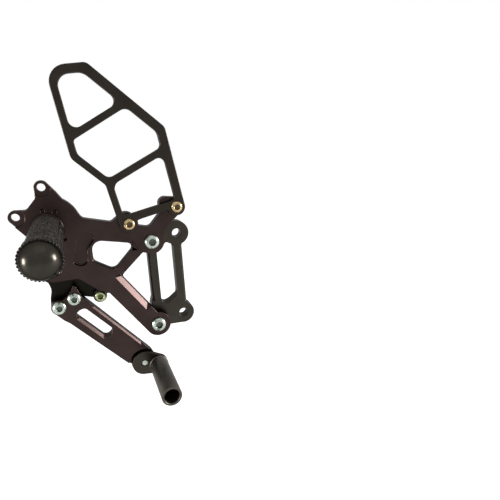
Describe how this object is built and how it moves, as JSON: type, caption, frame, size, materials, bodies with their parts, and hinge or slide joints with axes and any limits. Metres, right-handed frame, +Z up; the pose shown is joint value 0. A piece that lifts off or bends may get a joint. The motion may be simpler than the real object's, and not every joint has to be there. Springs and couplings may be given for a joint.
{
  "type": "rear set footrest",
  "caption": "Motorcycle rear set: machined hanger plate on a frame adapter, knurled footpeg, open heel guard and a bell-crank brake pedal with an adjustable toe peg.",
  "frame": {"origin": "midway between the two frame bolts, on the adapter's back face", "axes": "+X forwards, +Z upwards, +Y inboard along the frame bolts; the footpeg points outboard along -Y"},
  "size_m": [0.1488, 0.1464, 0.2819],
  "materials": {
    "black_anodised": "satin black anodised",
    "brown_anodised": "satin dark brown anodised",
    "grey_anodised": "satin dark grey anodised",
    "peg_anodised": "knurled black anodised",
    "gloss_black": "glossy black",
    "black_plastic": "matte black",
    "silver_zinc": "bright zinc plated",
    "gold_zinc": "yellow zinc plated",
    "olive_zinc": "olive zinc plated",
    "bright_steel": "ground",
    "bush_bronze": "plain"
  },
  "bodies": {
    "bracket": {"frame_adapter": "black_anodised", "main_plate": "brown_anodised", "heel_guard": "grey_anodised", "adapter_bolt_upper": "silver_zinc", "adapter_bolt_lower": "silver_zinc", "guard_bolt_upper": "gold_zinc", "guard_bolt_lower": "gold_zinc", "footpeg_collar": "peg_anodised", "footpeg_barrel": "peg_anodised", "footpeg_end_cap": "gloss_black", "footpeg_bolt": "silver_zinc", "pivot_sleeve": "bright_steel", "pivot_washer": "silver_zinc", "pivot_bolt": "silver_zinc"},
    "pedal": {"pedal_hub": "black_anodised", "pedal_bush": "bush_bronze", "pedal_arm": "brown_anodised", "arm_bolt_inner": "silver_zinc", "arm_bolt_outer": "silver_zinc", "stop_spacer": "black_plastic", "stop_bolt": "olive_zinc"},
    "toe": {"toe_carrier": "black_anodised", "toe_peg": "black_anodised", "toe_pivot_bolt": "silver_zinc", "toe_peg_screw": "silver_zinc"}
  },
  "joints": [
    {"name": "brake_lever", "type": "hinge", "parent": "bracket", "child": "pedal", "pos_m": [-0.1075, -0.0062, 0.022], "axis": [0, 1, 0], "range_deg": [0, 12], "stiffness_Nm_per_rad": 2, "springref_deg": -8.59},
    {"name": "toe_peg_adjust", "type": "hinge", "parent": "pedal", "child": "toe", "pos_m": [-0.0435, -0.0177, -0.081], "axis": [0, 1, 0], "range_deg": [-30, 120]}
  ]
}
